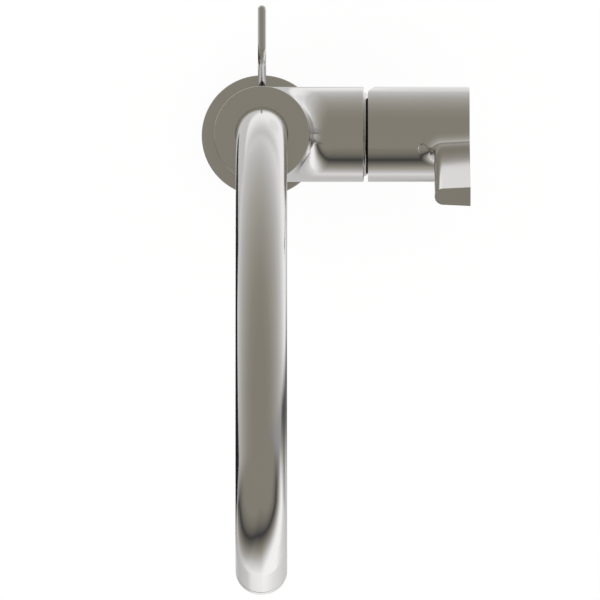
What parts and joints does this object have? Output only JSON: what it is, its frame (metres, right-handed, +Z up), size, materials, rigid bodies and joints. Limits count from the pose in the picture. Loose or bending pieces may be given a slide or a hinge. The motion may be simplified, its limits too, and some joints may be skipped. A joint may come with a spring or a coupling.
{
  "type": "basin mixer tap",
  "caption": "Tall swan-neck basin mixer tap with a side cartridge handle, swivelling round-tube spout, bent waste lift rod and under-deck clamp.",
  "frame": {"origin": "centre of the foot on the deck plane", "axes": "+Z up, spout to the front along -Y, handle on the right along +X"},
  "size_m": [0.1159, 0.2533, 0.358],
  "materials": {
    "satin_steel": "satin polished stainless steel",
    "polished_steel": "mirror polished",
    "turned_brass": "turned",
    "plated_steel": "zinc plated",
    "black_rubber": "moulded",
    "white_plastic": "moulded",
    "dark_plastic": "moulded",
    "lapped_ceramic": "lapped"
  },
  "bodies": {
    "tap_body": {"body_casting": "satin_steel", "top_ring": "satin_steel", "base_flange": "satin_steel", "base_seal": "black_rubber", "base_insert": "turned_brass", "fixing_stud": "plated_steel", "spout_stop_screw": "plated_steel", "rod_guide": "dark_plastic", "cartridge_base": "white_plastic", "port_seals": "black_rubber", "cartridge_o_ring": "black_rubber", "fixed_disc": "lapped_ceramic", "cartridge_housing": "white_plastic", "cartridge_nut": "turned_brass", "dome_ring": "polished_steel"},
    "spout": {"spout_tube": "satin_steel", "spout_sleeve": "turned_brass", "spout_guide_bush": "white_plastic", "spout_o_rings": "black_rubber", "spout_thrust_washer": "white_plastic", "aerator_housing": "satin_steel", "aerator_insert": "white_plastic", "flow_regulator": "white_plastic", "aerator_seal": "black_rubber"},
    "cartridge_carrier": {"stem_guide": "white_plastic", "pivot_pin": "plated_steel"},
    "mixing_disc": {"moving_disc": "lapped_ceramic", "disc_coupler": "white_plastic"},
    "handle": {"handle_shell": "satin_steel", "handle_insert": "dark_plastic", "lever_stem": "plated_steel", "handle_grub_screw": "plated_steel", "grub_screw_plug": "dark_plastic"},
    "waste_rod": {"lift_rod": "satin_steel", "rod_clamp": "turned_brass", "rod_clamp_screw": "plated_steel"},
    "deck_clamp": {"clamp_pad": "black_rubber", "clamp_plate": "plated_steel", "clamp_nut": "plated_steel"}
  },
  "joints": [
    {"name": "spout_swivel", "type": "hinge", "parent": "tap_body", "child": "spout", "pos_m": [0, 0, 0.13], "axis": [0, 0, 1], "range_deg": [-75, 75]},
    {"name": "temperature_turn", "type": "hinge", "parent": "tap_body", "child": "cartridge_carrier", "pos_m": [0.035, 0, 0.096], "axis": [1, 0, 0], "range_deg": [-45, 45]},
    {"name": "flow_tilt", "type": "hinge", "parent": "cartridge_carrier", "child": "handle", "pos_m": [0.035, 0, 0.096], "axis": [0, 0.9511, 0.309], "range_deg": [0, 20]},
    {"name": "disc_slide", "type": "slide", "parent": "cartridge_carrier", "child": "mixing_disc", "axis": [0, -0.309, 0.9511], "range_m": [0, 0.0024]},
    {"name": "waste_rod_lift", "type": "slide", "parent": "tap_body", "child": "waste_rod", "axis": [0, 0.309, 0.9511], "range_m": [0, 0.014]},
    {"name": "clamp_travel", "type": "slide", "parent": "tap_body", "child": "deck_clamp", "axis": [0, 0, 1], "range_m": [-0.012, 0.014]}
  ],
  "couplings": [
    {"joint": "disc_slide", "follows": "flow_tilt", "m_per_rad": 0.0068}
  ]
}
